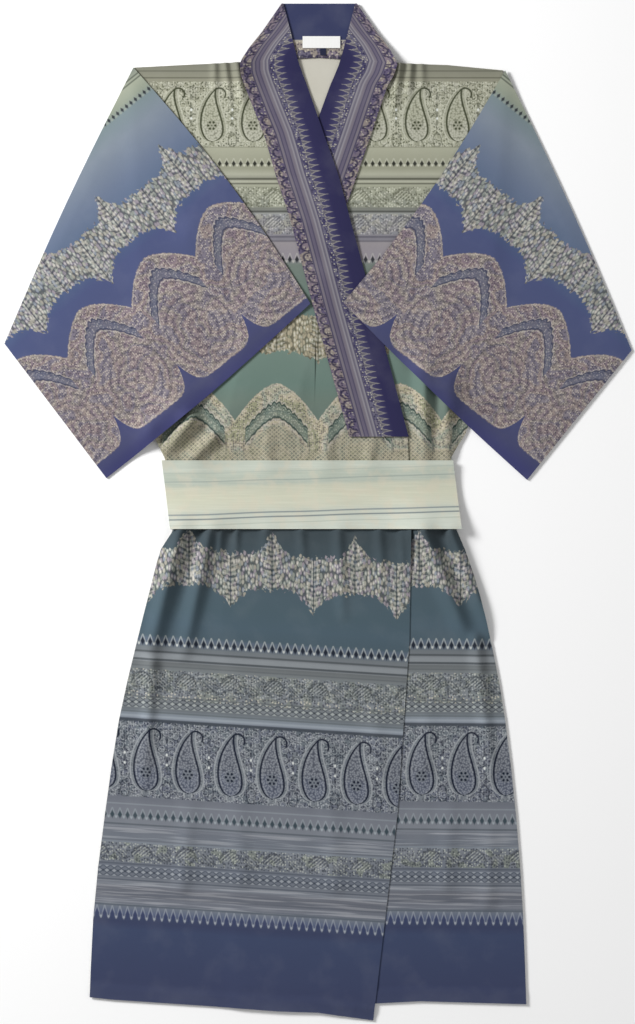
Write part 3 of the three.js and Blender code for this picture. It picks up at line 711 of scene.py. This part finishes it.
def skirt_cloth():
    """The skirt's print, from the belt down to the plain navy hem."""
    cloth = Print("skirt_cloth", 0x3C445F)
    u, v = cloth.u, cloth.v
    upper = cloth.ramp(v, -200, 0, [
        (-200, 0x858A8C), (-192, 0x777D80), (-187, 0x707577), (-181, 0x666A6C), (-180, 0x84898D),
        (-173, 0x84898D), (-168, 0x6F7479), (-164, 0x6C7276), (-160.5, 0x5B6470), (-153, 0x556170),
        (-150, 0x4A5A64), (-135, 0x4B5C67), (-115, 0x4A5B64), (-95, 0x4B5B64), (-20, 0x3F494E)])
    middle = cloth.ramp(v, -400, -200, [
        (-400, 0x7B828B), (-366, 0x767A82), (-352, 0x72767F), (-345, 0x6C7079), (-330, 0x6D717A),
        (-290, 0x6F737A), (-256, 0x70757B), (-252, 0x454B54), (-248, 0x858C96), (-242, 0x7C848C),
        (-238, 0x6A7075), (-232, 0x7A7F83), (-222, 0x6B7074), (-214, 0x7B8082), (-200, 0x7C8182)])
    lower = cloth.ramp(v, -600, -400, [
        (-600, 0x444A64), (-560, 0x3C435F), (-500, 0x3E4864), (-491, 0x3B425D), (-486, 0x3D455F),
        (-480, 0x59627A), (-471, 0x6F7680), (-463, 0x7B7F88), (-458, 0x6C7079), (-450, 0x767981),
        (-444, 0x81868E), (-438, 0x6B7079), (-424, 0x6B717C), (-416, 0x6F757E), (-404, 0x787D85)])
    cloth.over(upper, 1.0)
    cloth.over(middle, inside(v + 200))
    cloth.over(lower, inside(v + 400))
    stipple(cloth, between(v, -226, -190), [0x767C7C, 0x80858A, 0x6C7276, 0x7C817C], 3.4)
    garland(cloth, u, v, period=98, shift=43.7, low=-86, high=-45, drop=25, rise=24,
            inks=LEAF_INKS, vein=0x2E3A40, spread=0.18)
    tooth_row(cloth, u, v, -162, -149, 0x1C222E, 0xC4C8C4)
    scroll_row(cloth, u, v, -217, -191, dark=0x34393E, light=0xACB0AE,
               mid=[0x72787A, 0x80858A, 0x6A7076, 0x7A807C])
    lattice_row(cloth, u, v, -236, -224, 0x3A4046, 0xB0B6B2)
    boteh_row(cloth, u, v, low=-334, period=49.7, shift=45, height=75, half_width=14.6,
              outline=0x171E2E, inks=[0x686C76, 0x626878, 0x73797F, 0x5E686F], pale=0xA9ADB0)
    tooth_row(cloth, u, v, -369, -356, 0x36444C, 0x9AA3A8)
    scroll_row(cloth, u, v, -420, -397, dark=0x3A3E46, light=0xB2B6AE,
               mid=[0x70757C, 0x7B7F86, 0x666B74, 0x7E8478])
    lattice_row(cloth, u, v, -437, -425, 0x3C434E, 0xA6ABB0)
    tooth_row(cloth, u, v, -488, -472, 0x3A4260, 0xA4A9B0)
    lines(cloth, v, [
        (-169, 1.2, 0x4A4F52, 0.85), (-178.5, 1.3, 0x474C50, 0.9), (-186, 0.8, 0x5A5E61, 0.6),
        (-223, 0.8, 0x5E6365, 0.8), (-241, 0.9, 0x5A6164, 0.7), (-246, 1.2, 0x98A0A8, 0.6),
        (-251, 1.8, 0x41474F, 0.9), (-351, 0.8, 0x8B9298, 0.6), (-375, 1.0, 0x565C63, 0.85),
        (-380, 1.2, 0x8A8E96, 0.6), (-394, 0.9, 0x5E626A, 0.5), (-422, 0.9, 0x555A64, 0.9),
        (-441, 0.9, 0x555A64, 0.9), (-446, 1.3, 0x8C9199, 0.7), (-453, 0.6, 0x62666E, 0.5),
        (-460, 0.7, 0x5C6068, 0.6), (-467, 1.1, 0x888B94, 0.7), (-471, 1.0, 0x555C66, 0.8)])
    stripes = cloth.noise(3.0, 2, 30)
    striped = most(between(v, -394, -378), between(v, -470, -443))
    cloth.over(0x4C505C, both(striped, inside(0.46 - stripes, 0.12)) * 0.35)
    cloth.over(0xA8A8AC, both(striped, inside(stripes - 0.42, 0.12)) * 0.3)
    return cloth.finish()


def bodice_cloth():
    """The print from the shoulders to the belt."""
    cloth = Print("bodice_cloth", 0x858878)
    u, v = cloth.u, cloth.v
    upper = cloth.ramp(v, 300, 540, [
        (300, 0x88838A), (318, 0x8C878A), (322, 0x78767E), (330, 0x807E84), (340, 0x8A8B8A),
        (352, 0x8F918E), (358, 0x74766F), (366, 0x91958A), (384, 0x969886), (390, 0xA8A998),
        (394, 0x86877A), (399, 0xA4A594), (406, 0x90917F), (420, 0x999A88), (440, 0xA8A996),
        (470, 0xA3A492), (505, 0x8E8D7C), (520, 0x828274), (540, 0x74756A)])
    lower = cloth.ramp(v, 60, 300, [
        (60, 0x57635F), (90, 0x5B6862), (130, 0x66756C), (150, 0x647870), (190, 0x6A7D74),
        (230, 0x62756F), (262, 0x67776F), (292, 0x6C766F), (300, 0x88838A)])
    cloth.over(upper, 1.0)
    cloth.over(lower, inside(v - 299))
    boteh_row(cloth, u, v, low=438, period=48.5, shift=20, height=64, half_width=13.5,
              outline=0x3E4230, inks=[0x9E9F8C, 0xA8A89A, 0x8F907E, 0xB2B2A0], pale=0xC4C5B4)
    scroll_row(cloth, u, v, 360, 384, dark=0x5A5C4C, light=0xC6C7B6,
               mid=[0x939584, 0x8B8D7E, 0xA0A290, 0x84867A])
    tooth_row(cloth, u, v, 408, 418, 0x1E201C, 0xC2C3B2, 8.3)
    scroll_row(cloth, u, v, 328, 352, dark=0x54545A, light=0xB8B6B4,
               mid=[0x8E8E88, 0x8C8A8C, 0x84868A, 0x9C9A8E])
    tooth_row(cloth, u, v, 294, 306, 0x20242A, 0xB4B2AC, 8.3)
    garland(cloth, u, v, period=98, shift=-49, low=190, high=230, drop=12, rise=12,
            inks=[0x9A917A, 0xA89E86, 0x8A8872, 0xB0A890], vein=0x4A4A3E, spread=0.4)
    medallions(cloth, u, v, period=98, shift=-49, top=152, dip=44, foot=40, lift=20,
               inks=[0xA29E8A, 0x8A9284, 0xAAA28C, 0x929278], ring_dark=0x2A3C3A, ring_fill=0x7C8E84,
               leg=0.72, net=0.75)
    lines(cloth, v, [
        (388, 1.0, 0x55564A, 0.8), (393.5, 1.1, 0x4E4F44, 0.9), (355, 1.2, 0x4C4E4A, 0.9),
        (325, 1.0, 0x54525C, 0.8), (320, 0.9, 0x5A5860, 0.7), (513, 0.8, 0x55564A, 0.7),
        (521, 0.8, 0x55564A, 0.6), (431, 0.7, 0x7C7D6C, 0.6)])
    return cloth.finish()


def sleeve_cloth():
    """The sleeves' print, laid out upwards from the seam along the lower edge."""
    cloth = Print("sleeve_cloth", 0x4C5A74)
    u, v = cloth.u, cloth.v
    bands = cloth.ramp(v, 0, 380, [
        (0, 0x3E406A), (16, 0x454868), (60, 0x444870), (140, 0x4B5274), (185, 0x4A5276), (215, 0x4C5E7A),
        (260, 0x667288), (300, 0x7A8490), (322, 0x768488), (330, 0x8A9284), (345, 0x9A9F8E),
        (356, 0x7E857C), (368, 0x9A9E90), (380, 0x8C9188)])
    cloth.over(bands, 1.0)
    medallions(cloth, u, v, period=96.4, shift=25.6, top=173, dip=36, foot=17, lift=34,
               inks=MEDALLION_INKS, ring_dark=0x3A3F54, ring_fill=0x707688)
    garland(cloth, u, v, period=96.4, shift=25.6, low=200, high=240, drop=24, rise=26,
            inks=LEAF_INKS, vein=0x3A3E48)
    tooth_row(cloth, u, v, 323, 332, 0x2B2E34, 0x8E968E, 6.7)
    lines(cloth, v, [
        (345, 0.9, 0x50564E, 0.8), (349, 0.9, 0x50564E, 0.8), (362, 0.9, 0x50564E, 0.7),
        (372, 0.8, 0x585E54, 0.7)])
    return cloth.finish()


def collar_cloth():
    """The collar band's print: u runs along it and v from its outer edge to its inner one."""
    cloth = Print("collar_cloth", 0x2E2C4C)
    u, v = cloth.u, cloth.v
    bands = cloth.ramp(v, 0, 70, [
        (0, 0x544E60), (3, 0x706870), (12, 0x5E586A), (16, 0x726C74), (21, 0x5E586A), (25, 0x6E6872),
        (30, 0x7A767E), (34, 0x5C586A), (38, 0x4C4964), (46, 0x3C3A5A), (54, 0x2E2C4E), (70, 0x2B2A4A)])
    cloth.over(bands, 1.0)
    stipple(cloth, between(v, 0, 13), [0x6E6472, 0x7C7078, 0x585068, 0x8A8078], 3.2, 0x24223C, 0xA8A294)
    x = size(repeat(u, 13))
    cloth.over(0x26243E, both(between(v, 0.5, 13), stroke(oval(x, v - 12, 5.4, 8), 0.9, 1.0)) * 0.8)
    lines(cloth, v, [
        (14, 0.7, 0x34324C, 0.8), (18.5, 0.7, 0x3A3852, 0.8), (23, 0.7, 0x3A3852, 0.7),
        (28, 0.7, 0x96949A, 0.45), (32.5, 0.7, 0x9C9A9C, 0.5), (30, 0.6, 0x444258, 0.6),
        (34.5, 0.6, 0x3A3852, 0.6)])
    stipple(cloth, between(v, 35, 42), [0x6A6878, 0x504C68, 0x7C7880, 0x3E3C5A], 2.8,
            dark=0x22203A, light=0xB8B4A4, amount=0.5)
    lace = (cloth.voronoi(3.0, "Color") - 0.5) * 3
    point = spike(repeat(u, 7.2), 3.6)
    cloth.over(0x9C988E, both(inside(41 - v, 1), inside(v - 42 - point * 11 - lace, 1.2)) * 0.6)
    cloth.over(0x2A2848, both(inside(41 - v, 1), inside(v - 39 - point * 9 - lace, 1.2)) * 0.6)
    return cloth.finish()


def collar_inside_cloth():
    """The navy inner face of the collar behind the neck, with its printed lower edge."""
    cloth = Print("collar_inside", 0x363B5A)
    u, v = cloth.u, cloth.v
    printed = inside(v - 557)
    stipple(cloth, printed, [0x8A7E86, 0x9A9084, 0x6E6876, 0xA8A090], 3.2, 0x2C2A40, 0xC4BEAA)
    x = size(repeat(u, 9))
    cloth.over(0x2A2840, both(printed, inside(oval(x, v - 534, 4.2, 6.5), 1.0)) * 0.8)
    cloth.over(0xB8B2A2, stroke(v - 557, 0.8, 1.0) * 0.6)
    return cloth.finish()


def belt_cloth():
    """Pale sage stripes, with a pair of fine grey lines along the lower half."""
    cloth = Print("belt_cloth", 0xBDC3B5)
    v = cloth.v - cloth.u * 0.03
    stripes = cloth.ramp(v, -30, 70, [
        (-30, 0xC4CAC0), (-12, 0xC6CBC0), (2, 0xBFC4B8), (8, 0xC9CAB8), (20, 0xCBCBB6), (32, 0xC4C5B2),
        (36, 0xB2BAAE), (48, 0xB7BFB2), (54, 0xC2C8BC), (70, 0xB4BBAF)])
    cloth.over(stripes, 1.0)
    streaks = cloth.noise(1.6, 2, 40)
    cloth.over(0xD2D6CA, inside(streaks - 0.45, 0.3) * 0.15)
    cloth.over(0xA0A89C, inside(0.42 - streaks, 0.3) * 0.14)
    blots = cloth.noise(16, 3)
    cloth.over(0xCFC6B2, inside(0.56 - blots, 0.2) * 0.35)
    wave = cloth.noise(90, 0) * 2.4 - 1.2
    lines(cloth, v + wave, [
        (40, 0.6, 0x848F8C, 0.55), (50, 0.5, 0x98A29C, 0.4), (1.4, 0.8, 0x66727A, 0.75),
        (-4.0, 0.8, 0x5C6870, 0.8), (-11, 0.5, 0x96A094, 0.5)])
    return cloth.finish(mottle=0.08)


def wrong_side_cloth():
    """The unprinted inner side of the back."""
    cloth = Print("wrong_side", 0xBEBBB0)
    fade = cloth.noise(60, 3)
    cloth.over(0xB3AFA2, inside(0.5 - fade, 0.3) * 0.4)
    return cloth.finish(mottle=0.06)


def label_cloth():
    """Plain white woven tape."""
    cloth = Print("label_tape", 0xE8E8E6)
    cloth.over(0xD2D2D0, stroke(repeat(cloth.u, 1.6), 0.3, 0.4) * 0.3)
    return cloth.finish(sheen=0.2, mottle=0.02)


def loop_cloth():
    """Dark cord."""
    cloth = Print("loop_cord", 0x1E2236)
    cloth.over(0x3A3E56, stroke(repeat(cloth.u + cloth.v, 2.0), 0.4, 0.5) * 0.5)
    return cloth.finish(mottle=0.02)


# ---- The robe -----------------------------------------------------------------------------------

ground = Ground()


def dress(piece, node, materials):
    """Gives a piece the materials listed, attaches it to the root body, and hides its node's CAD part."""
    for material in materials:
        piece.data.materials.append(material)
    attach(piece, "root")
    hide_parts(node)


def lay_sheet(node, step, thickness, uv_of, folds=(), passes=SETTLE_PASSES, rise=None, seam_x=None,
              on=None):
    """Lays one sheet over the ground, or over an earlier state of it, and returns what shell() takes."""
    xy = flat_grid(node, step)
    if seam_x is not None:
        close = abs(xy[..., 0] - seam_x) < SEAM_REACH
        xy[..., 0] = np.where(close, seam_x, xy[..., 0])
    top = settle((on or ground).under(xy) + LAY_GAP + thickness, passes)
    top += ridge(xy, folds)
    if rise is not None:
        top += rise(xy)
    ground.lay(xy, top)
    return xy, top, thickness, uv_of(xy)


def declare(sheets):
    """Works out the sizes of boxes round the first sheet's flat grid, turned in steps of 3 degrees, and the
    sheets' area, and uses neither.
    """
    xy = sheets[0][0].reshape(-1, 2)
    boxes = [np.ptp(rotated(xy, (0, 0), turn), axis=0) for turn in range(0, 90, 3)]
    area = sum(sheet_area(sheet[0]) for sheet in sheets)


def straight(xy):
    """Print places that are the places themselves."""
    return xy


def slanted(origin_x, degrees, skirt_shift=0.0, bodice_shift=0.0):
    """Print places on a panel whose borders slope down to the right below the waist."""
    slope = math.tan(math.radians(degrees))

    def place(xy):
        below = xy[..., 1] < 0
        tilt = (xy[..., 0] - origin_x * MM) * slope
        shift = np.where(below, skirt_shift, bodice_shift) * MM
        return np.stack([xy[..., 0] + shift, np.where(below, xy[..., 1] + tilt, xy[..., 1])], -1)

    return place


def band_places(xy):
    """Print places on a collar band: along it, and across from its first column to its last."""
    steps = np.linalg.norm(np.diff(xy, axis=0), axis=-1).mean(1)
    along = np.concatenate([[0], steps.cumsum()])[:, None] + np.zeros(xy.shape[:2])
    across = np.linalg.norm(xy - xy[:, :1], axis=-1)
    return np.stack([along, across], -1)


def mirrored(sheet):
    """The same sheet with its print turned over across the band."""
    xy, top, thickness, uv = sheet
    across = uv[..., 1].max(1, keepdims=True) - uv[..., 1]
    return xy, top, thickness, np.stack([uv[..., 0], across], -1)


def hem_rise(xy):
    """The turned-up hem: the cloth stands a little higher along the lower edge."""
    above = xy[..., 1] - xy[0, :, 1][None]
    return HEM_RISE * np.clip((HEM_DEPTH - above) / (2 * MM) + 0.5, 0, 1)


materials = {
    "bodice": bodice_cloth(),
    "skirt": skirt_cloth(),
    "sleeve": sleeve_cloth(),
    "collar": collar_cloth(),
    "collar_inside": collar_inside_cloth(),
    "belt": belt_cloth(),
    "wrong": wrong_side_cloth(),
    "label": label_cloth(),
    "loop": loop_cloth(),
}

# Standing folds: from (x, y) to (to_x, to_y), half width and rise, in millimetres.
RIGHT_FOLDS = [
    (-150, 108, -184, 68, 13, 14.0), (-124, 88, -156, 57, 11, 11.0), (-172, 122, -200, 96, 9, 8.0),
    (-196, 96, -190, 58, 8, 7.0),
    (-163, -22, -203, -186, 15, 15.0), (-128, -22, -160, -176, 13, 11.0), (-196, -180, -206, -330, 11, 6.0),
    (-114, -22, -118, -66, 7, 5.0), (-96, -22, -97, -52, 6, 3.5), (-62, -22, -58, -92, 9, 3.4),
    (-20, -22, -16, -74, 8, 3.0), (24, -22, 30, -130, 10, 4.0), (72, -22, 78, -96, 9, 3.4),
    (98, -22, 101, -70, 7, 3.0), (-97, 534, -87, 474, 7, 6.0), (-110, 534, -104, 486, 6, 5.0),
    (-122, 534, -122, 496, 6, 3.4), (-60, 60, -58, 110, 11, 3.0), (10, 60, 14, 120, 11, 3.4),
    (60, 60, 66, 92, 9, 3.4), (-150, 330, -120, 300, 14, 4.0), (-90, -430, -94, -330, 16, 2.6),
    (20, -440, 14, -320, 18, 2.6), (-160, -440, -150, -330, 14, 3.0), (70, -300, 66, -220, 16, 2.2),
]
LEFT_FOLDS = [
    (125, 166, 127, 56, 13, 14.0), (151, 150, 153, 56, 12, 11.0), (112, -22, 120, -70, 7, 6.0),
    (124, -22, 180, -160, 14, 15.0), (156, -22, 208, -150, 11, 11.0), (186, -150, 206, -320, 11, 7.0),
    (97, 534, 90, 474, 7, 6.0), (110, 534, 106, 486, 6, 5.0), (122, 534, 124, 496, 6, 3.4),
    (150, -440, 158, -330, 16, 3.0), (200, -460, 204, -360, 14, 3.0), (126, -300, 130, -220, 14, 2.4),
]


def split_by_height(piece, first, second, y):
    """Faces above a height take the first material, and those below it the second."""
    piece.data.materials.append(first)
    piece.data.materials.append(second)
    for face in piece.data.polygons:
        face.material_index = 0 if face.center.y > y else 1


belt_back_xy = flat_grid("belt", GRID_STEP)
belt_back = (belt_back_xy, np.full(belt_back_xy.shape[:2], CLOTH), CLOTH, belt_back_xy)
ground.lay(belt_back_xy, belt_back[1])

back = lay_sheet("back_panel", BACK_STEP, CLOTH, straight)
collar_back = lay_sheet("collar_back", GRID_STEP, BAND_CLOTH, straight)

RIGHT_SEAM_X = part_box("overlap_right")[0].x
LEFT_SEAM_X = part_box("overlap_left")[1].x
RIGHT_PRINT = slanted(-125, 3.7)
LEFT_PRINT = slanted(144, 0.5, skirt_shift=22.3, bodice_shift=-48)

# Each layer's pieces lie side by side on what is under the layer: (node, print, folds, seam).
BODY_LAYERS = [
    [("front_left", LEFT_PRINT, LEFT_FOLDS, LEFT_SEAM_X),
     ("overlap_left", LEFT_PRINT, LEFT_FOLDS, LEFT_SEAM_X)],
    [("collar_left", band_places, (), None)],
    [("front_right", RIGHT_PRINT, RIGHT_FOLDS, RIGHT_SEAM_X),
     ("overlap_right", RIGHT_PRINT, RIGHT_FOLDS, RIGHT_SEAM_X)],
    [("collar_right", band_places, (), None)],
]

piece = shell("robe_back_panel", [back])
dress(piece, "back_panel", [materials["wrong"]])
declare([back])

piece = shell("robe_collar_back", [collar_back])
dress(piece, "collar_back", [materials["collar_inside"]])
declare([collar_back])

for layer in BODY_LAYERS:
    under_layer = copy.deepcopy(ground)
    for node, places, folds, seam_x in layer:
        is_band = node.startswith("collar")
        thickness = BAND_CLOTH if is_band else CLOTH
        step = GRID_STEP if is_band else FRONT_STEP
        rise = None if is_band else hem_rise
        sheet = lay_sheet(node, step, thickness, places, folds, rise=rise, seam_x=seam_x, on=under_layer)
        if node == "collar_left":
            sheet = mirrored(sheet)
        piece = shell("robe_" + node, [sheet])
        if is_band:
            dress(piece, node, [materials["collar"]])
        else:
            split_by_height(piece, materials["bodice"], materials["skirt"], PRINT_CHANGE_Y)
            dress(piece, node, [])
        declare([sheet])

belt_front = lay_sheet("belt", GRID_STEP, CLOTH, straight, passes=BELT_PASSES)
piece = shell("robe_belt", [belt_back, belt_front])
dress(piece, "belt", [materials["belt"]])
declare([belt_back, belt_front])

# Each sleeve: its node, its print's origin in millimetres, the turn, and -1 where it is mirrored.
SLEEVES = [
    ("sleeve_right", (-198.2, 250.2), 38.5, 1),
    ("sleeve_left", (201.0, 250.2), -38.5, -1),
]
SLEEVE_SEAM_DEPTH = 129.8  # from the print's origin to the lower seam


def sleeve_places(origin, degrees, mirror):
    """Print places along a sleeve's lower seam and up from it."""
    def place(xy):
        local = rotated(xy, origin, degrees)
        return np.stack([local[..., 0] * mirror, local[..., 1] + SLEEVE_SEAM_DEPTH * MM], -1)
    return place


for node, origin, degrees, mirror in SLEEVES:
    places = sleeve_places(origin, degrees, mirror)
    under = lay_sheet(node, GRID_STEP, CLOTH, places)
    xy, under_top, _, uv = under
    up = np.sin(np.linspace(0, math.pi, xy.shape[0]))[:, None]
    across = np.sin(np.linspace(0, math.pi, xy.shape[1]))[None]
    parting = np.minimum(up * 6, 1) * np.minimum(across * 4 + 0.4, 1)
    upper_top = under_top + CLOTH + SLEEVE_GAP + SLEEVE_AIR * parting
    upper = (xy, upper_top, CLOTH, uv)
    ground.lay(xy, upper_top)
    piece = shell("robe_" + node, [under, upper])
    dress(piece, node, [materials["sleeve"]])
    declare([under, upper])


def trim_piece(node, material):
    """A small flat tape: it takes the node's box, on the collar's inner face."""
    low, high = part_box(node)
    x = np.linspace(low.x, high.x, 12)
    y = np.linspace(low.y, high.y, 8)
    xy = np.stack(np.meshgrid(x, y), -1)
    top = ground.under(xy, 1) + LAY_GAP + CLOTH
    piece = shell("robe_" + node, [(xy, top, CLOTH, xy)])
    dress(piece, node, [material])
    return piece, (high.x - low.x, high.y - low.y)


label, label_size = trim_piece("neck_label", materials["label"])
loop, _ = trim_piece("hanging_loop", materials["loop"])

# ---- Floor, light and camera --------------------------------------------------------------------

FLOOR_REACH = 6.0
FLOOR_Z = -0.3 * MM
FLOOR_COLOUR = (0.97, 0.97, 0.97, 1)

floor_mesh = bpy.data.meshes.new("floor")
floor_corners = [(x * FLOOR_REACH, y * FLOOR_REACH, 0) for x, y in ((-1, -1), (1, -1), (1, 1), (-1, 1))]
floor_mesh.from_pydata(floor_corners, [], [(0, 1, 2, 3)])
floor = bpy.data.objects.new("floor", floor_mesh)
bpy.context.scene.collection.objects.link(floor)
floor.location.z = FLOOR_Z
floor_material = bpy.data.materials.new("floor")
floor_material.use_nodes = True
floor_shader = floor_material.node_tree.nodes["Principled BSDF"]
floor_shader.inputs["Base Color"].default_value = FLOOR_COLOUR
floor_shader.inputs["Roughness"].default_value = ROUGHNESS
floor_mesh.materials.append(floor_material)


def area_light(name, place, size_m, watts):
    """A square light that faces the robe's middle."""
    data = bpy.data.lights.new(name, "AREA")
    data.size = size_m
    data.energy = watts
    light = bpy.data.objects.new(name, data)
    light.location = place
    light.rotation_euler = light.location.to_track_quat("Z", "Y").to_euler()
    bpy.context.scene.collection.objects.link(light)


area_light("key", place=(-2.3, 1.3, 1.6), size_m=0.9, watts=118)
area_light("fill", place=(1.8, -1.0, 2.6), size_m=2.0, watts=13)
world = bpy.data.worlds.new("studio")
world.use_nodes = True
sky = world.node_tree.nodes["Background"]
sky.inputs["Color"].default_value = (1, 1, 1, 1)
sky.inputs["Strength"].default_value = 0.34
bpy.context.scene.world = world
bpy.context.scene.view_settings.view_transform = "Standard"

FRAME_HEIGHT = 1.2083  # what the picture's longer side takes in at the robe
FOCAL = 150.0
SENSOR = 36.0
ROBE_TOP = 8 * MM
CAMERA_X = -0.6 * MM
camera_data = bpy.data.cameras.new("camera")
camera_data.lens = FOCAL
camera_data.sensor_width = SENSOR
camera_data.clip_end = 50
camera = bpy.data.objects.new("camera", camera_data)
camera.location = (CAMERA_X, 0, FRAME_HEIGHT * FOCAL / SENSOR + ROBE_TOP)
bpy.context.scene.collection.objects.link(camera)
bpy.context.scene.camera = camera
